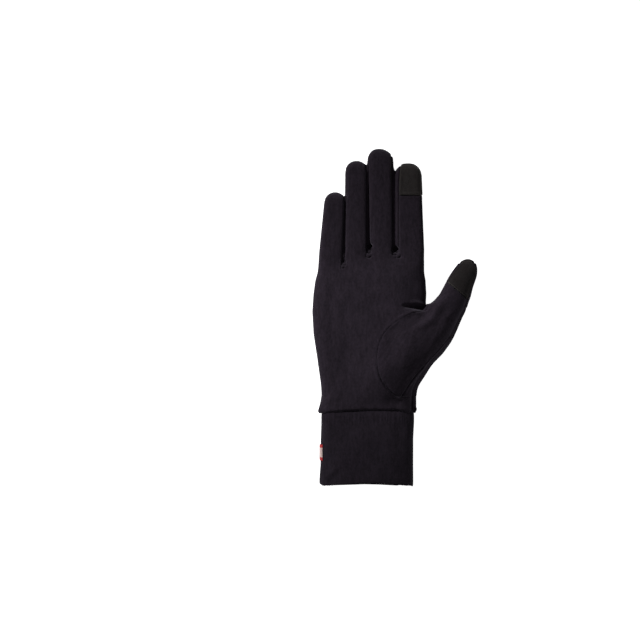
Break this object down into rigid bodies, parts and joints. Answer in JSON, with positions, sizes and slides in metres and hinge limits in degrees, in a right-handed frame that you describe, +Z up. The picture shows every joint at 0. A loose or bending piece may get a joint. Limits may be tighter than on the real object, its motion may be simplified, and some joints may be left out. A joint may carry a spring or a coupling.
{
  "type": "glove liner",
  "caption": "Thin knitted liner glove for the right hand, lying palm up, with fourchettes, keystone thumb, touch tips and a doubled cuff.",
  "frame": {"origin": "on the surface that the glove lies on, under the middle of the hand", "axes": "+X towards the thumb, +Y towards the fingertips, +Z up, out of the palm"},
  "size_m": [0.1222, 0.2526, 0.023],
  "materials": {
    "jersey": "fine brushed stretch jersey, soft matt black with a violet cast",
    "cuff_jersey": "the same jersey, doubled, a little darker",
    "touch_fabric": "smooth conductive knit, warmer charcoal",
    "tab": "red woven tape with plain pale stripes"
  },
  "bodies": {
    "root": {"hand_piece": "jersey", "fourchette_little_ring": "jersey", "fourchette_ring_middle": "jersey", "fourchette_middle_index": "jersey", "side_gusset": "jersey", "thumb_front": "jersey", "thumb_back": "jersey", "thumb_touch_tip": "touch_fabric", "index_touch_tip": "touch_fabric", "cuff": "cuff_jersey", "side_tab": "tab"}
  },
  "joints": []
}
